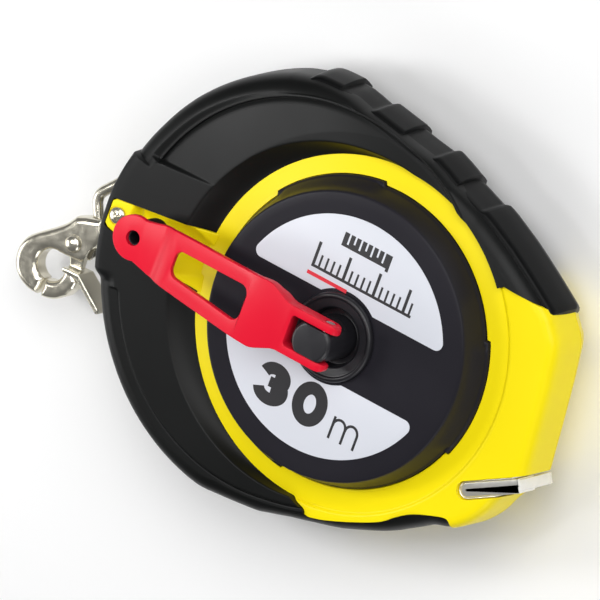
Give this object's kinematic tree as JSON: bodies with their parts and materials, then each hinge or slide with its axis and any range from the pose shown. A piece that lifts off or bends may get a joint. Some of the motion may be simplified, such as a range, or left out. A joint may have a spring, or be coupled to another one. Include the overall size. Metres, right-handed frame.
{
  "type": "surveyor tape reel",
  "caption": "Closed-case long tape measure with a ribbed hand grip, a folding geared rewind crank on its face, a tape mouth in the nose and a snap hook on a wire ring.",
  "frame": {"origin": "where the crank axis meets the flat back, on which the reel lies", "axes": "+Z out of the front face along the crank axis, +X towards the nose with the tape mouth, +Y towards the ribbed hand grip"},
  "size_m": [0.2147, 0.1549, 0.0652],
  "materials": {
    "yellow_abs": "satin",
    "black_rubber": "matte",
    "graphite_abs": "fine-grained matte",
    "black_knob": "satin",
    "white_label": "satin print",
    "yellow_blade": "satin",
    "nylon": "satin",
    "red_paint": "satin",
    "nickel": "polished",
    "steel": "satin",
    "felt": "matte"
  },
  "bodies": {
    "case": {"front_case": "yellow_abs", "front_rubber": "black_rubber", "rear_case": "yellow_abs", "rear_rubber": "black_rubber", "grip_pad": "black_rubber", "gear_cover": "graphite_abs", "upper_label": "white_label", "lower_label": "white_label", "tab_screw": "nickel", "case_screw_1": "steel", "case_screw_2": "steel", "case_screw_3": "steel", "case_screw_4": "steel", "case_screw_5": "steel", "case_screw_6": "steel", "drum_axle": "steel", "axle_washer": "steel", "throat_liner": "nickel", "upper_guide_pin": "steel", "lower_guide_pin": "steel", "tape_wiper": "felt", "ring_bracket": "steel"},
    "drum": {"drum_core": "graphite_abs", "rear_flange": "graphite_abs", "front_flange": "graphite_abs", "tape_coil": "yellow_blade", "drum_pinion": "nylon"},
    "crank": {"crank_hub": "graphite_abs", "ring_gear": "nylon", "hub_screw": "steel", "hub_washer": "steel"},
    "arm": {"crank_arm": "red_paint", "arm_pivot_pin": "steel", "knob_rivet": "steel"},
    "knob": {"crank_knob": "black_knob"},
    "tape_end": {"tape_lead": "yellow_blade", "end_hook": "nickel"},
    "ring": {"hook_ring": "nickel"},
    "hook": {"hook_body": "nickel", "hook_rivet": "nickel", "gate_spring": "steel"},
    "gate": {"hook_gate": "nickel"}
  },
  "joints": [
    {"name": "crank_spin", "type": "hinge", "parent": "case", "child": "crank", "pos_m": [0, 0, 0.048], "axis": [0, 0, 1], "continuous": true},
    {"name": "drum_spin", "type": "hinge", "parent": "case", "child": "drum", "pos_m": [-0.024, 0, 0.02], "axis": [0, 0, 1], "continuous": true},
    {"name": "crank_fold", "type": "hinge", "parent": "crank", "child": "arm", "pos_m": [0.003, 0, 0.061], "axis": [0, 1, 0], "range_deg": [0, 180]},
    {"name": "knob_spin", "type": "hinge", "parent": "arm", "child": "knob", "pos_m": [-0.0793, 0, 0.048], "axis": [0, 0, 1], "continuous": true},
    {"name": "tape_pull", "type": "slide", "parent": "case", "child": "tape_end", "axis": [0.9314, 0.3641, 0], "range_m": [0, 0.05]},
    {"name": "ring_swing", "type": "hinge", "parent": "case", "child": "ring", "pos_m": [-0.0896, 0, 0.02], "axis": [0, 1, 0], "range_deg": [-18, 18]},
    {"name": "hook_swing", "type": "hinge", "parent": "ring", "child": "hook", "pos_m": [-0.1111, -0.0134, 0.02], "axis": [0.4535, -0.8912, 0], "range_deg": [-30, 30]},
    {"name": "gate_open", "type": "hinge", "parent": "hook", "child": "gate", "pos_m": [-0.1152, -0.0236, 0.02], "axis": [0, 0, 1], "range_deg": [0, 12], "stiffness_Nm_per_rad": 0.05, "springref_deg": -11.46}
  ],
  "couplings": [
    {"joint": "drum_spin", "follows": "crank_spin", "ratio": 3}
  ]
}
